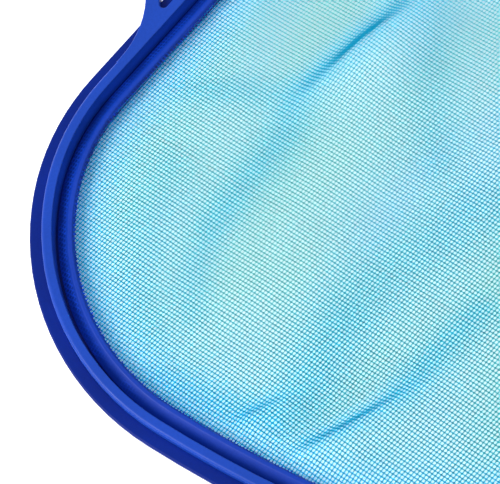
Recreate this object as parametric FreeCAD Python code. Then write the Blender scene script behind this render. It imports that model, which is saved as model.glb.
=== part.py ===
import FreeCAD, Part
import math
import os

# Flat leaf skimmer head: a moulded rim that clamps a fine net, a braced yoke
# behind it, and a round spigot with a sprung two-button clip for the pole.
# Millimetres. +Z is up, the leading edge faces -Y and the spigot points to +Y.
# The origin is the middle of the outer box, on the face that the head rests on.

Vector = FreeCAD.Vector
UP = Vector(0, 0, 1)

# Outline of the head from above, outer edge, from the back edge to the front
head_width = 440.0
back_corner_radius = 91.0
back_corner_turn = 32.0
shoulder_radius = 103.0
shoulder_turn = 63.5
side_radius = 500.0
side_turn = 6.0
cheek_radius = 160.0
cheek_turn = 14.0
front_corner_radius = 86.0
front_bow_turn = 7.0

# Section of the rim, from the outer edge inwards
flange_width = 4.9
flange_thickness = 2.4
flange_edge_round = 0.8
web_thickness = 1.8
ridge_width = 4.0
ridge_outer_round = 1.3
ridge_inner_round = 0.4
groove_width = 1.0
ledge_width = 6.3
lip_setback = 2.1
lip_width = 1.4
lip_outer_round = 0.9
lip_inner_round = 0.5
base_inner_setback = 1.0
moulding_gap = 0.1

# Heights above the resting face
ridge_height = 9.8
flange_drop = 3.9
floor_thickness = 2.0
ledge_start_height = 3.3
ledge_lip_height = 6.0
ledge_groove_round = 0.4
net_height = 4.3

# Net
net_thickness = 0.4
net_grip = 1.8
net_lip_over = 0.25
net_lip_under = 0.9
net_gap_width = 15.6
net_strand_width = 1.3
net_edge_band = 1.0
net_least_gap = 0.08

# Yoke: struts, braces and their stiffening webs
strut_angle = 44.0
strut_width = 5.0
strut_root_x = 96.0
strut_root_fillet = 40.0
window_corner_round = 1.6
brace_x = 44.0
brace_width = 4.4
plate_edge_round = 0.6
web_width = 2.4
web_bottom = 2.4
web_rim_clearance = 1.0
hub_bite = 5.0

# Hub that holds the spigot, and the nose that joins it to the rim
hub_radius = 17.5
hub_flat = 0.5
hub_length = 50.0
nose_length = 42.0
nose_round = 1.6
hub_collar_length = 6.0
hub_collar_rise = 1.2
hub_collar_round = 1.0
socket_wall = 3.0
socket_clearance = 0.1

# Spigot that goes inside the pole
spigot_diameter = 28.5
spigot_bore = 24.0
spigot_reach = 115.0
spigot_end_chamfer = 1.2
spigot_pilot_length = 38.0
spigot_pilot_step = 0.3
slot_corner_round = 2.0

# Sprung clip inside the spigot, measured from its pivot towards the head
pivot_setback = 13.0
clip_pin_radius = 1.5
pin_running_clearance = 0.05
clip_pin_recess = 0.5
clip_pin_chamfer = 0.3
arm_height = 9.0
arm_half_thickness = 1.4
eye_radius = 3.2
eye_split_gap = 0.3
tongue_length = 16.0
arm_slope = 10.4
arm_straight_length = 50.0
arm_bend_round = 4.0
tab_start = 63.0
tab_length = 22.0
tab_centre_x = 16.6
tab_rib_height = 0.8
tab_rib_count = 5
tab_bend_round = 3.0
tab_end_round = 1.0
tab_rib_margin = 0.5
press_angle = 4.5
button_place = 40.0
button_radius = 3.2
button_tip_x = 17.0
button_tip_round = 1.2
button_shank_radius = 2.0
button_boss_radius = 4.0
button_seat_x = 9.6
button_back_x = 5.2
button_hole_clearance = 0.4
slot_clearance = 0.7
slot_end_clearance = 4.0

# Leaf spring between the two clip arms
spring_thickness = 0.5
spring_height = 6.0
spring_apex = 21.0
spring_tip_clearance = 1.0
spring_gap = 0.05
spring_outer_round = 0.8
spring_inner_round = 0.4

# Screws that hold the rim together, driven from below
rim_screw_count = 18
rim_screw_radius = 1.0
rim_screw_head_radius = 1.8
rim_screw_head_height = 1.0
rim_screw_head_recess = 0.2
rim_screw_length = 5.4
rim_screw_hole_clearance = 0.1

# Screws that hold the spigot in the hub, driven from above
spigot_screw_radius = 1.6
spigot_screw_head_radius = 3.0
spigot_screw_head_height = 1.7
spigot_screw_head_recess = 0.4
spigot_screw_head_round = 0.5
spigot_screw_first = 12.0
spigot_screw_pitch = 22.0

# Worked-out sizes
cut_overrun = 5.0
join_overlap = 2.0
flange_top = ridge_height - flange_drop
ridge_outer = flange_width + moulding_gap
ridge_inner = ridge_outer + ridge_width
ledge_outer = ridge_inner + groove_width
section_width = ledge_outer + ledge_width
net_top = net_height + net_thickness
hub_axis_height = hub_radius - hub_flat
spigot_radius = spigot_diameter / 2
strut_slope = math.radians(strut_angle)


def turned(heading):
    """Unit vector in the plan at a heading in degrees."""
    return Vector(math.cos(math.radians(heading)), math.sin(math.radians(heading)), 0)


def side_runs():
    """Radius and turn of each arc of one side, from the back edge to the front bow."""
    front_corner_turn = 180.0 - front_bow_turn - cheek_turn - side_turn - shoulder_turn - back_corner_turn
    return [
        (back_corner_radius, back_corner_turn),
        (shoulder_radius, shoulder_turn),
        (side_radius, side_turn),
        (cheek_radius, cheek_turn),
        (front_corner_radius, front_corner_turn),
    ]


def run_ends():
    """How far the side's arcs reach sideways to the widest place, and back in again."""
    heading = 180.0
    place = Vector(0, 0, 0)
    widest = 0.0
    for radius, turn in side_runs():
        centre = place + turned(heading + 90) * radius
        if heading < 270.0 <= heading + turn:
            widest = radius - centre.x
        heading += turn
        place = centre - turned(heading + 90) * radius
    return widest, place


widest_reach, side_end = run_ends()
back_half_length = head_width / 2 - widest_reach
front_bow_reach = back_half_length - side_end.x
front_bow_radius = front_bow_reach / math.sin(math.radians(front_bow_turn))
head_depth = -side_end.y + front_bow_radius * (1 - math.cos(math.radians(front_bow_turn)))
total_length = head_depth + nose_length + hub_length + spigot_reach
front_y = -total_length / 2
back_y = front_y + head_depth
hub_start_y = back_y + nose_length
hub_end_y = hub_start_y + hub_length
spigot_end_y = hub_end_y + spigot_reach
pivot_y = spigot_end_y - pivot_setback


def rim_path():
    """The outer edge as straight and round runs, going round to the left from the back edge."""
    arcs = side_runs()
    runs = [(0.0, 2 * back_half_length)] + arcs
    runs.append((front_bow_radius, 2 * front_bow_turn))
    runs.extend(reversed(arcs))
    path = []
    heading = 180.0
    place = Vector(back_half_length, back_y, 0)
    for radius, amount in runs:
        inward = turned(heading + 90)
        run = {"start": place, "inward": inward, "heading": heading, "radius": radius}
        if radius == 0.0:
            run["length"] = amount
            place = place + turned(heading) * amount
        else:
            run["turn"] = amount
            run["centre"] = place + inward * radius
            run["length"] = radius * math.radians(amount)
            heading += amount
            place = run["centre"] - turned(heading + 90) * radius
        path.append(run)
    return path


RIM = rim_path()
RIM_LENGTH = sum(run["length"] for run in RIM)


def rounded_wire(corners):
    """Closed wire in the XY plane through (x, y) or (x, y, rounding radius) corners."""
    count = len(corners)
    points = [Vector(c[0], c[1], 0) for c in corners]
    rounds = [c[2] if len(c) > 2 else 0.0 for c in corners]
    entries = []
    for i in range(count):
        here = points[i]
        if rounds[i] == 0.0:
            entries.append((here, here, None))
            continue
        back = (points[i - 1] - here).normalize()
        ahead = (points[(i + 1) % count] - here).normalize()
        half = back.getAngle(ahead) / 2
        reach = rounds[i] / math.tan(half)
        middle = (back + ahead).normalize()
        centre = here + middle * (rounds[i] / math.sin(half))
        entries.append((here + back * reach, here + ahead * reach, centre - middle * rounds[i]))
    edges = []
    for i in range(count):
        entry, leave, crown = entries[i]
        if crown is not None:
            edges.append(Part.Arc(entry, crown, leave).toShape())
        following = entries[(i + 1) % count][0]
        if leave.distanceToPoint(following) > 1e-6:
            edges.append(Part.LineSegment(leave, following).toShape())
    return Part.Wire(edges)


def plate(corners, low, high):
    """Flat plate with the given plan corners between two heights."""
    face = Part.Face(rounded_wire(corners))
    face.translate(Vector(0, 0, low))
    return face.extrude(Vector(0, 0, high - low))


def rim_section(corners):
    """Closed ring whose section, given as (inset, height) corners, follows the rim."""
    faces = []
    for run in RIM:
        section = rounded_wire(corners)
        turn = FreeCAD.Rotation(run["inward"], UP, run["inward"].cross(UP), "XYZ")
        section.Placement = FreeCAD.Placement(run["start"], turn)
        for edge in section.Edges:
            if run["radius"] == 0.0:
                faces.append(edge.extrude(turned(run["heading"]) * run["length"]))
            else:
                faces.append(edge.revolve(run["centre"], UP, run["turn"]))
    shell = Part.makeShell(faces)
    shell.sewShape()
    ring = Part.Solid(shell)
    if ring.Volume < 0:
        ring.reverse()
    return ring


def rim_outline(inset, height):
    """Closed plan wire at an inset from the outer edge."""
    edges = []
    for run in RIM:
        start = run["start"] + run["inward"] * inset
        if run["radius"] == 0.0:
            end = start + turned(run["heading"]) * run["length"]
            edges.append(Part.LineSegment(start, end).toShape())
        else:
            radius = run["radius"] - inset
            middle = run["centre"] - turned(run["heading"] + 90 + run["turn"] / 2) * radius
            end = run["centre"] - turned(run["heading"] + 90 + run["turn"]) * radius
            edges.append(Part.Arc(start, middle, end).toShape())
    wire = Part.Wire(edges)
    wire.translate(Vector(0, 0, height))
    return wire


def rim_place(distance, inset):
    """Point at a distance from the middle of the back edge, and an inset from the outer edge."""
    distance = (distance + back_half_length) % RIM_LENGTH
    for run in RIM:
        if distance <= run["length"]:
            break
        distance -= run["length"]
    if run["radius"] == 0.0:
        return run["start"] + turned(run["heading"]) * distance + run["inward"] * inset
    heading = run["heading"] + math.degrees(distance / run["radius"])
    return run["centre"] - turned(heading + 90) * (run["radius"] - inset)


def cylinder(radius, start, axis, length):
    """Round bar from a start point along an axis."""
    return Part.makeCylinder(radius, length, start, axis)


def rim_screw_places():
    """Even places of the rim screws on the middle of the ridge."""
    pitch = RIM_LENGTH / rim_screw_count
    middle = ridge_outer + ridge_width / 2
    return [rim_place((i + 0.5) * pitch, middle) for i in range(rim_screw_count)]


def make_base_ring():
    """Lower moulding: outer flange, web and the floor that carries the ridge and the net ring."""
    web_outer = flange_width - web_thickness
    flange_bottom = flange_top - flange_thickness
    inner = section_width - base_inner_setback
    ring = rim_section([
        (0.0, flange_bottom, flange_edge_round),
        (0.0, flange_top, flange_edge_round),
        (flange_width, flange_top),
        (flange_width, floor_thickness),
        (inner, floor_thickness),
        (inner, 0.0),
        (web_outer, 0.0),
        (web_outer, flange_bottom),
    ])
    head_top = rim_screw_head_recess + rim_screw_head_height
    cuts = []
    for place in rim_screw_places():
        low = place - UP * cut_overrun
        recess_radius = rim_screw_head_radius + rim_screw_hole_clearance
        cuts.append(cylinder(recess_radius, low, UP, cut_overrun + head_top))
        hole_radius = rim_screw_radius + rim_screw_hole_clearance
        cuts.append(cylinder(hole_radius, low, UP, floor_thickness + 2 * cut_overrun))
    return ring.cut(cuts)


def make_net_ring():
    """Inner moulding: the ledge with its rounded lip, slotted for the edge of the net."""
    slot_bottom = section_width - net_grip
    lip_crown = section_width - lip_setback
    return rim_section([
        (ledge_outer, floor_thickness),
        (ledge_outer, ledge_start_height, ledge_groove_round),
        (lip_crown, ledge_lip_height, lip_outer_round),
        (lip_crown + lip_width, ledge_lip_height, lip_inner_round),
        (section_width, net_top + net_lip_over),
        (section_width, net_top),
        (slot_bottom, net_top),
        (slot_bottom, net_height),
        (section_width, net_height),
        (section_width, net_height - net_lip_under),
        (section_width - base_inner_setback, floor_thickness),
    ])


def make_leaf_net():
    """Net as one sheet with square gaps, its edge held in the slot of the net ring."""
    outline = rim_outline(section_width - net_grip, net_height)
    clear = Part.Face(rim_outline(section_width + net_edge_band, net_height))
    pitch = net_gap_width + net_strand_width
    half_gap = net_gap_width / 2
    middle_y = (front_y + back_y) / 2
    columns = int(head_width / pitch)
    rows = int(head_depth / pitch)
    gaps = []
    for column in range(columns):
        for row in range(rows):
            x = (column - (columns - 1) / 2) * pitch
            y = middle_y + (row - (rows - 1) / 2) * pitch
            gap = Part.makePlane(net_gap_width, net_gap_width, Vector(x - half_gap, y - half_gap, net_height))
            if not all(clear.isInside(corner.Point, 1e-6, True) for corner in gap.Vertexes):
                gap = gap.common(clear)
            if gap.Area > net_least_gap * net_gap_width ** 2:
                gaps.append(gap.Faces[0].OuterWire)
    print("net gaps:", len(gaps))
    sheet = Part.makeFace([outline] + gaps, "Part::FaceMakerBullseye")
    return sheet.extrude(Vector(0, 0, net_thickness))


def strut_line(offset):
    """Function x(y) of a line along the right strut, set off from its outer edge to the inside."""
    root_y = back_y - ridge_outer
    shift = offset / math.sin(strut_slope)
    return lambda y: strut_root_x - shift - (y - root_y) / math.tan(strut_slope)


def strut_height(x, offset):
    """y at which the strut's line, set off to the inside, crosses a given distance from the middle."""
    root_y = back_y - ridge_outer
    shift = offset / math.sin(strut_slope)
    return root_y + (strut_root_x - shift - x) * math.tan(strut_slope)


def yoke_windows():
    """Plan corners of the two gaps on the right of the yoke, outer one first."""
    root_y = back_y - ridge_outer
    inner_edge = strut_line(strut_width)
    brace_out = brace_x + brace_width / 2
    brace_in = brace_x - brace_width / 2
    hub_side = hub_radius - hub_bite
    corner = window_corner_round
    outer = [
        (inner_edge(root_y), root_y, corner),
        (brace_out, strut_height(brace_out, strut_width), corner),
        (brace_out, root_y, corner),
    ]
    inner = [
        (brace_in, root_y, corner),
        (brace_in, strut_height(brace_in, strut_width), corner),
        (hub_side, strut_height(hub_side, strut_width)),
        (hub_side, root_y),
    ]
    return outer, inner


def mirrored(corners):
    """The same plan corners on the other side of the middle."""
    return [(-corner[0],) + tuple(corner[1:]) for corner in corners]


def make_yoke_plate():
    """Strut plate at the height of the ridge top, with its windows and rounded edges."""
    root_y = back_y - ridge_outer
    buried_y = root_y - ridge_width / 2
    low = flange_top + moulding_gap
    fillet_reach = strut_root_fillet * math.tan(strut_slope / 2)
    foot_x = strut_root_x + fillet_reach + join_overlap
    tip_y = hub_end_y - hub_collar_length
    tip_x = max(strut_line(0.0)(tip_y), join_overlap)
    outline = [
        (foot_x, buried_y),
        (foot_x, root_y),
        (strut_root_x, root_y, strut_root_fillet),
        (tip_x, tip_y),
    ]
    outline += [(-corner[0],) + tuple(corner[1:]) for corner in reversed(outline)]
    body = plate(outline, low, ridge_height)
    outer, inner = yoke_windows()
    cuts = []
    for window in (outer, inner, mirrored(outer), mirrored(inner)):
        cuts.append(plate(window, low - cut_overrun, ridge_height + cut_overrun))
    body = body.cut(cuts)
    top_edges = [edge for edge in body.Edges if edge.BoundBox.ZMin > ridge_height - plate_edge_round]
    return body.makeFillet(plate_edge_round, top_edges)


def make_strut_webs():
    """Stiffening webs under the struts' inner edges and the braces, clear of the flange."""
    webs = []
    high = flange_top + 2 * moulding_gap
    for side in (-1, 1):
        start_y = back_y + web_rim_clearance
        near = strut_line(strut_width - web_width)
        far = strut_line(strut_width)
        end_y = strut_height(hub_radius - hub_bite, strut_width)
        corners = [
            (side * near(start_y), start_y),
            (side * near(end_y), end_y),
            (side * far(end_y), end_y),
            (side * far(start_y), start_y),
        ]
        webs.append(plate(corners, web_bottom, high))
        brace_top = strut_height(brace_x, strut_width / 2)
        corners = [
            (side * (brace_x - web_width / 2), start_y),
            (side * (brace_x + web_width / 2), start_y),
            (side * (brace_x + web_width / 2), brace_top),
            (side * (brace_x - web_width / 2), brace_top),
        ]
        webs.append(plate(corners, web_bottom, high))
    return webs


def make_hub():
    """Barrel and collar that hold the spigot, swept down to the rim in front and cut flat below."""
    along = Vector(0, 1, 0)
    start = Vector(0, back_y + moulding_gap, hub_axis_height)
    barrel = cylinder(hub_radius, start, along, hub_end_y - start.y)
    collar_start = Vector(0, hub_end_y - hub_collar_length, hub_axis_height)
    collar = cylinder(hub_radius + hub_collar_rise, collar_start, along, hub_collar_length)
    collar = collar.makeFillet(min(hub_collar_round, hub_collar_rise * 0.9), round_rims(collar))
    drop = hub_axis_height + hub_radius - ridge_height
    sweep_radius = (nose_length ** 2 + drop ** 2) / (2 * drop)
    sweep_centre = Vector(-2 * hub_radius, back_y, ridge_height + sweep_radius)
    sweep = cylinder(sweep_radius, sweep_centre, Vector(1, 0, 0), 4 * hub_radius)
    below = Part.makeBox(
        4 * hub_radius, total_length, 2 * hub_radius,
        Vector(-2 * hub_radius, 0, -2 * hub_radius),
    )
    barrel = barrel.cut([sweep, below])
    swept = [edge for edge in barrel.Edges if not isinstance(edge.Curve, (Part.Line, Part.Circle))]
    barrel = barrel.makeFillet(nose_round, swept)
    return barrel.fuse(collar.cut(below))


def round_rims(shape):
    """Circular edges of a plain cylinder."""
    return [edge for edge in shape.Edges if isinstance(edge.Curve, Part.Circle)]


def spigot_screw_places():
    """Places of the two spigot screws along the hub."""
    first = hub_end_y - spigot_screw_first
    return [first, first - spigot_screw_pitch]


def make_top_frame():
    """Upper moulding: the ridge all round, the braced yoke and the hub."""
    ridge = rim_section([
        (ridge_outer, floor_thickness),
        (ridge_outer, ridge_height, ridge_outer_round),
        (ridge_inner, ridge_height, ridge_inner_round),
        (ridge_inner, floor_thickness),
    ])
    frame = ridge.fuse([make_yoke_plate(), make_hub()] + make_strut_webs())
    along = Vector(0, 1, 0)
    socket_start = Vector(0, hub_start_y + socket_wall, hub_axis_height)
    socket = cylinder(spigot_radius + socket_clearance, socket_start, along, hub_length + cut_overrun)
    cuts = [socket]
    pilot_top = rim_screw_head_recess + rim_screw_head_height + rim_screw_length
    for place in rim_screw_places():
        cuts.append(cylinder(rim_screw_radius, place, UP, pilot_top))
    hub_top = hub_axis_height + hub_radius
    for y in spigot_screw_places():
        cuts.append(cylinder(spigot_screw_radius, Vector(0, y, hub_axis_height), UP, 2 * hub_radius))
        seat = hub_top - spigot_screw_head_recess - spigot_screw_head_height
        seat_radius = spigot_screw_head_radius + moulding_gap
        cuts.append(cylinder(seat_radius, Vector(0, y, seat), UP, hub_radius))
    return frame.cut(cuts)


def make_rim_screws():
    """Countersunk-from-below rim screws, as one group."""
    screws = []
    for place in rim_screw_places():
        start = place + UP * rim_screw_head_recess
        head = cylinder(rim_screw_head_radius, start, UP, rim_screw_head_height)
        shank_start = start + UP * rim_screw_head_height
        shank = cylinder(rim_screw_radius, shank_start, UP, rim_screw_length)
        screws.append(head.fuse(shank))
    return Part.makeCompound(screws)


def make_spigot_screws():
    """Two screws through the hub wall into the spigot."""
    screws = []
    hub_top = hub_axis_height + hub_radius
    spigot_inner_top = hub_axis_height + spigot_bore / 2
    for y in spigot_screw_places():
        head_low = hub_top - spigot_screw_head_recess - spigot_screw_head_height
        head = cylinder(spigot_screw_head_radius, Vector(0, y, head_low), UP, spigot_screw_head_height)
        top_rim = max(round_rims(head), key=lambda edge: edge.BoundBox.ZMin)
        head = head.makeFillet(spigot_screw_head_round, [top_rim])
        shank = cylinder(spigot_screw_radius, Vector(0, y, spigot_inner_top), UP, head_low - spigot_inner_top)
        screws.append(head.fuse(shank))
    return Part.makeCompound(screws)


def clip_point(along, out, height=0.0):
    """Point of the clip: a distance from the pivot towards the head, and out to the right."""
    return Vector(out, pivot_y - along, hub_axis_height + height)


def make_handle_spigot():
    """Round tube with a slightly smaller pilot end, the clip's slots, button holes and pivot holes."""
    along = Vector(0, 1, 0)
    start_y = hub_start_y + socket_wall
    length = spigot_end_y - start_y
    tube = cylinder(spigot_radius, Vector(0, start_y, hub_axis_height), along, length)
    pilot_start = Vector(0, spigot_end_y - spigot_pilot_length, hub_axis_height)
    pilot_radius = spigot_radius - spigot_pilot_step
    sleeve = cylinder(2 * spigot_radius, pilot_start, along, 2 * spigot_pilot_length)
    pilot = cylinder(pilot_radius, pilot_start, along, spigot_pilot_length)
    tube = tube.cut(sleeve.cut(pilot))
    outer_end = max(round_rims(tube), key=lambda edge: edge.BoundBox.YMin)
    tube = tube.makeChamfer(spigot_end_chamfer, [outer_end])
    bore_start = Vector(0, start_y - cut_overrun, hub_axis_height)
    cuts = [cylinder(spigot_bore / 2, bore_start, along, length + 2 * cut_overrun)]
    half_slot = arm_height / 2 + slot_clearance
    slot_near = arm_straight_length - slot_end_clearance
    slot_far = tab_start + tab_length + slot_end_clearance
    slot = Part.makeBox(
        4 * spigot_radius, slot_far - slot_near, 2 * half_slot,
        Vector(-2 * spigot_radius, pivot_y - slot_far, hub_axis_height - half_slot),
    )
    along_x = [edge for edge in slot.Edges if edge.BoundBox.XLength > spigot_radius]
    cuts.append(slot.makeFillet(slot_corner_round, along_x))
    across = Vector(1, 0, 0)
    slide = button_slide()
    hole = clip_point(button_place + slide / 2, -2 * spigot_radius)
    hole_radius = button_radius + slide / 2 + button_hole_clearance
    cuts.append(cylinder(hole_radius, hole, across, 4 * spigot_radius))
    pin_low = clip_point(0.0, 0.0, -spigot_diameter)
    cuts.append(cylinder(clip_pin_radius, pin_low, UP, 2 * spigot_diameter))
    for y in spigot_screw_places():
        cuts.append(cylinder(spigot_screw_radius, Vector(0, y, hub_axis_height), UP, 2 * spigot_radius))
    return tube.cut(cuts)


def button_slide():
    """How far a button's tip moves along the spigot when its arm is pressed in."""
    press = math.radians(press_angle)
    return button_place * (math.cos(press) - 1) + button_tip_x * math.sin(press)


def make_clip_pin():
    """Pivot pin across the spigot."""
    reach = spigot_radius - clip_pin_recess
    pin = cylinder(clip_pin_radius, clip_point(0.0, 0.0, -reach), UP, 2 * reach)
    return pin.makeChamfer(clip_pin_chamfer, round_rims(pin))


def arm_middle(along):
    """Distance of the arm's middle line from the spigot axis on its straight stretch."""
    return along * math.tan(math.radians(arm_slope))


def arm_plan():
    """Plan corners, as (along, out), of the full-height part of a clip arm."""
    half = arm_half_thickness
    bend_out = arm_middle(arm_straight_length)
    tab_end = tab_start + tab_length
    return [
        (tongue_length, arm_middle(tongue_length) - half),
        (arm_straight_length, bend_out - half, arm_bend_round),
        (tab_start, tab_centre_x - half, tab_bend_round),
        (tab_end, tab_centre_x - half, tab_end_round),
        (tab_end, tab_centre_x + half, tab_end_round),
        (tab_start, tab_centre_x + half, tab_bend_round),
        (arm_straight_length, bend_out + half, arm_bend_round),
        (tongue_length, arm_middle(tongue_length) + half),
    ]


def clip_solid(plan, low, high, side):
    """Clip piece from an (along, out) plan between two heights about the axis, on one side."""
    corners = []
    for corner in plan:
        rounding = corner[2] if len(corner) > 2 else 0.0
        corners.append((side * corner[1], pivot_y - corner[0], rounding))
    return plate(corners, hub_axis_height + low, hub_axis_height + high)


def make_clip_arm(side):
    """One clip arm with its half-height eye, the boss of its button and the ribbed thumb tab."""
    half_height = arm_height / 2
    if side > 0:
        low, high = eye_split_gap / 2, half_height
    else:
        low, high = -half_height, -eye_split_gap / 2
    bar = clip_solid(arm_plan(), -half_height, half_height, side)
    half = arm_half_thickness
    end = tongue_length + join_overlap
    tongue = clip_solid([
        (0.0, -half),
        (end, arm_middle(end) - half),
        (end, arm_middle(end) + half),
        (0.0, half),
    ], low, high, side)
    eye = cylinder(eye_radius, clip_point(0.0, 0.0, low), UP, high - low)
    across = Vector(side, 0, 0)
    boss_length = button_seat_x - button_back_x
    boss = cylinder(button_boss_radius, clip_point(button_place, side * button_back_x), across, boss_length)
    ribs = []
    rib_pitch = tab_length / (tab_rib_count + 1)
    for i in range(tab_rib_count):
        along = tab_start + (i + 1) * rib_pitch
        rib_out = side * (tab_centre_x + half)
        rib_low = clip_point(along, rib_out, tab_rib_margin - half_height)
        ribs.append(cylinder(tab_rib_height, rib_low, UP, arm_height - 2 * tab_rib_margin))
    arm = bar.fuse([tongue, eye, boss] + ribs)
    bore_low = clip_point(0.0, 0.0, -arm_height)
    pin_bore = cylinder(clip_pin_radius + pin_running_clearance, bore_low, UP, 2 * arm_height)
    shank_start = clip_point(button_place, 0.0)
    shank_hole = cylinder(button_shank_radius, shank_start, across, 2 * button_seat_x)
    return arm.cut([pin_bore, shank_hole])


def make_snap_button(side):
    """Button with a rounded head outside the boss and a shank through it."""
    across = Vector(side, 0, 0)
    head_start = clip_point(button_place, side * button_seat_x)
    head = cylinder(button_radius, head_start, across, button_tip_x - button_seat_x)
    tip = max(round_rims(head), key=lambda edge: abs(edge.BoundBox.Center.x))
    head = head.makeFillet(button_tip_round, [tip])
    shank_start = clip_point(button_place, side * button_back_x)
    shank = cylinder(button_shank_radius, shank_start, across, button_seat_x - button_back_x)
    return head.fuse(shank)


def make_clip_spring():
    """Leaf spring bent to a V that pushes the two arms apart."""
    lean = spring_gap + arm_half_thickness / math.cos(math.radians(arm_slope))
    low = -spring_height / 2
    high = spring_height / 2

    def leg(along, depth):
        return (along, arm_middle(along) - lean - depth)

    tip = button_place - button_boss_radius - spring_tip_clearance
    inner_start = spring_apex + 2 * spring_thickness
    outer_near = leg(spring_apex, 0.0)
    outer_far = leg(tip, 0.0)
    inner_far = leg(tip, spring_thickness)
    inner_near = leg(inner_start, spring_thickness)
    plan = [
        (outer_near[0], outer_near[1], spring_outer_round),
        outer_far,
        inner_far,
        (inner_near[0], inner_near[1], spring_inner_round),
        (inner_near[0], -inner_near[1], spring_inner_round),
        (inner_far[0], -inner_far[1]),
        (outer_far[0], -outer_far[1]),
        (outer_near[0], -outer_near[1], spring_outer_round),
    ]
    return clip_solid(plan, low, high, 1)


def main():
    """Build every piece and write one STEP file for each."""
    pieces = {
        "base_ring": make_base_ring(),
        "top_frame": make_top_frame(),
        "net_ring": make_net_ring(),
        "leaf_net": make_leaf_net(),
        "rim_screws": make_rim_screws(),
        "handle_spigot": make_handle_spigot(),
        "spigot_screws": make_spigot_screws(),
        "clip_pin": make_clip_pin(),
        "clip_arm_left": make_clip_arm(-1),
        "clip_arm_right": make_clip_arm(1),
        "snap_button_left": make_snap_button(-1),
        "snap_button_right": make_snap_button(1),
        "clip_spring": make_clip_spring(),
    }
    os.makedirs("parts", exist_ok=True)
    for name, shape in pieces.items():
        shape.exportStep(os.path.join("parts", name + ".step"))
        box = shape.BoundBox
        print(name, len(shape.Solids), shape.isValid(), round(shape.Volume), box)


main()
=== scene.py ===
import math
import random

import bmesh
import bpy
from mathutils import Matrix, Vector, noise
from mathutils.bvhtree import BVHTree


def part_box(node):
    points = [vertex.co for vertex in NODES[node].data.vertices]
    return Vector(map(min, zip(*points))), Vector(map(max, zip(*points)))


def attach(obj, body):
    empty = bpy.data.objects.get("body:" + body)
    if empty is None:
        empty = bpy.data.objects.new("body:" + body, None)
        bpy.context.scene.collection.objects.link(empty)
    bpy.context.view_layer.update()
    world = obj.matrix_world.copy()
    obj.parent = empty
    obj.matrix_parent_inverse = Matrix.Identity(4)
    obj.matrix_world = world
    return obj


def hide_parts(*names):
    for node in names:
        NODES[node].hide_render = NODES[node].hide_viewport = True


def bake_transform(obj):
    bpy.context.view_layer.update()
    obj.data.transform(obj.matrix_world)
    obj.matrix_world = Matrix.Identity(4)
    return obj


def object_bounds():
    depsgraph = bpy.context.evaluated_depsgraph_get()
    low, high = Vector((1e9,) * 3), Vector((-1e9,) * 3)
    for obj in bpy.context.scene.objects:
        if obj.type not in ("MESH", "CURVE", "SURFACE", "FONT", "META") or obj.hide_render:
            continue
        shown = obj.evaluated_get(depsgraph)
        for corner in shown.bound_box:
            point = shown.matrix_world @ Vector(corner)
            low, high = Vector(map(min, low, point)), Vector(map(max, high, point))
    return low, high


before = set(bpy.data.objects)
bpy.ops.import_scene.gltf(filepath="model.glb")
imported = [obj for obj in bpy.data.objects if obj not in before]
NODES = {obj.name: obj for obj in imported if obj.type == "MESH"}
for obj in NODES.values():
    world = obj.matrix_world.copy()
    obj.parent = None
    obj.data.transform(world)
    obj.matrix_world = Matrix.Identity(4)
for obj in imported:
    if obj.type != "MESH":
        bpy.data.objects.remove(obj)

bl_info = {
    "name": "Leaf skimmer net",
    "version": (1, 0, 0),
    "blender": (4, 5, 0),
    "location": "3D View > Sidebar > Skimmer",
    "description": "Finishes the mouldings, the woven net and the sprung clip of a leaf skimmer head",
    "category": "Object",
}

MM = 0.001
CAD_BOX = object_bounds()
NET_LOW, NET_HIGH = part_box("leaf_net")
SPRING_LOW, SPRING_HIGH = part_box("clip_spring")
STREAK_ANGLE = math.radians(14)

# Heights over which the slope of the ledge sets in at its foot and ends at its top
SLOPE_FOOT = (3.3 * MM, 3.6 * MM)
SLOPE_TOP = (5.2 * MM, 5.7 * MM)
# Places along Y over which the painted shade of the ridge on the slope, and the print of the net on it, set
# in
RIDGE_SHADE_ZONE = (-50 * MM, 5 * MM)
PRINTED_ZONE = (-90 * MM, -5 * MM)
# How far under the net the inner wall of the ring is probed
PROBE_DROP = 0.4 * MM
# Columns past the outermost ones, so that the outer panels keep the ends of their sideways threads
EDGE_COLUMNS = 9
# Threads tried past the size of the net, and the step between the crossings tried on each
SPARE_THREADS = 4
TRIED_STEP = 6
# Least distance between the ring and the crossing next to it, as a share of the pitch
END_CLEARANCE = 0.35
# Distance from the ring in which the folds flatten out
FOLD_FADE = 8 * MM
# How far crossings lie off the even mesh, and how close together that changes
WANDER = 0.22 * MM
WANDER_SCALE = 60
# Puckers between the waves, and how the waves bend
PUCKER_RISE = 0.5 * MM
PUCKER_SCALE = 26
WAVE_BEND = 2.4
WAVE_BEND_SCALE = 11
# The darker band of painted shade along the ring, made by fuller threads, and the width in which the
# threads take the colour of the painted bounce light from the ring
RING_SHADE_STRENGTH = 0.45
RING_SHADE_WIDTH = 16 * MM
RING_BOUNCE_WIDTH = 12 * MM
# Moulding flash around each thread: least and greatest length and root radius in millimetres
FLASH_LENGTHS = (0.25, 0.95)
FLASH_ROOT_RADII = (0.34, 0.46)
FLASH_TIP_RADIUS = 0.22 * MM
FLASH_DEPTH_IN_RING = 0.25 * MM
# Pieces that each half of the clip's spring is cut into
SPRING_CUTS = 12
# Gap between the floor and the lowest face of the head
FLOOR_GAP = 0.05 * MM


def length_property(name, description, default):
    """A size in metres, shown with its unit."""
    return bpy.props.FloatProperty(
        name=name, description=description, default=default, unit="LENGTH", precision=5
    )


def angle_property(name, description, degrees):
    """An angle, given in degrees and kept in radians."""
    return bpy.props.FloatProperty(
        name=name, description=description, default=math.radians(degrees), unit="ROTATION"
    )


def colour_property(name, description, default):
    """A linear colour."""
    return bpy.props.FloatVectorProperty(
        name=name, description=description, default=default, subtype="COLOR", size=3, min=0.0, max=1.0
    )


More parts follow.
